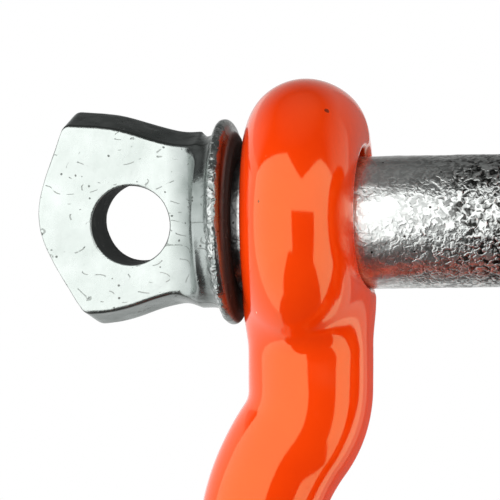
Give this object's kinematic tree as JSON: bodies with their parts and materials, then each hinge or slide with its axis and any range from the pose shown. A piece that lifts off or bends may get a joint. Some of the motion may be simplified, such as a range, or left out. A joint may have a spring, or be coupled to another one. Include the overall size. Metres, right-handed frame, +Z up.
{
  "type": "screw pin bow shackle",
  "caption": "Forged bow shackle with round-rimmed ears, closed by a flat-headed screw pin with a drilled tab, collar, plain shank and threaded end.",
  "frame": {"origin": "on the pin's axis, midway between the two ears", "axes": "+Z up, away from the crown of the bow; X along the pin, with its head towards -X; Y across the bow"},
  "size_m": [0.118, 0.0474, 0.1272],
  "materials": {
    "bow_enamel": "thick glossy orange enamel",
    "pin_zinc": "hot-dip galvanised, pitted"
  },
  "bodies": {
    "bow": {"bow": "bow_enamel"},
    "pin_carrier": {"pin_shank": "pin_zinc"},
    "pin": {"pin_head": "pin_zinc", "pin_thread": "pin_zinc"}
  },
  "joints": [
    {"name": "pin_travel", "type": "slide", "parent": "bow", "child": "pin_carrier", "axis": [-1, 0, 0], "range_m": [-0.00071, 0.02328]},
    {"name": "pin_turn", "type": "hinge", "parent": "pin_carrier", "child": "pin", "pos_m": [0, 0, 0], "axis": [-1, 0, 0], "range_deg": [-90, 2970]}
  ],
  "couplings": [
    {"joint": "pin_turn", "follows": "pin_travel", "rad_per_m": 2226.3}
  ]
}
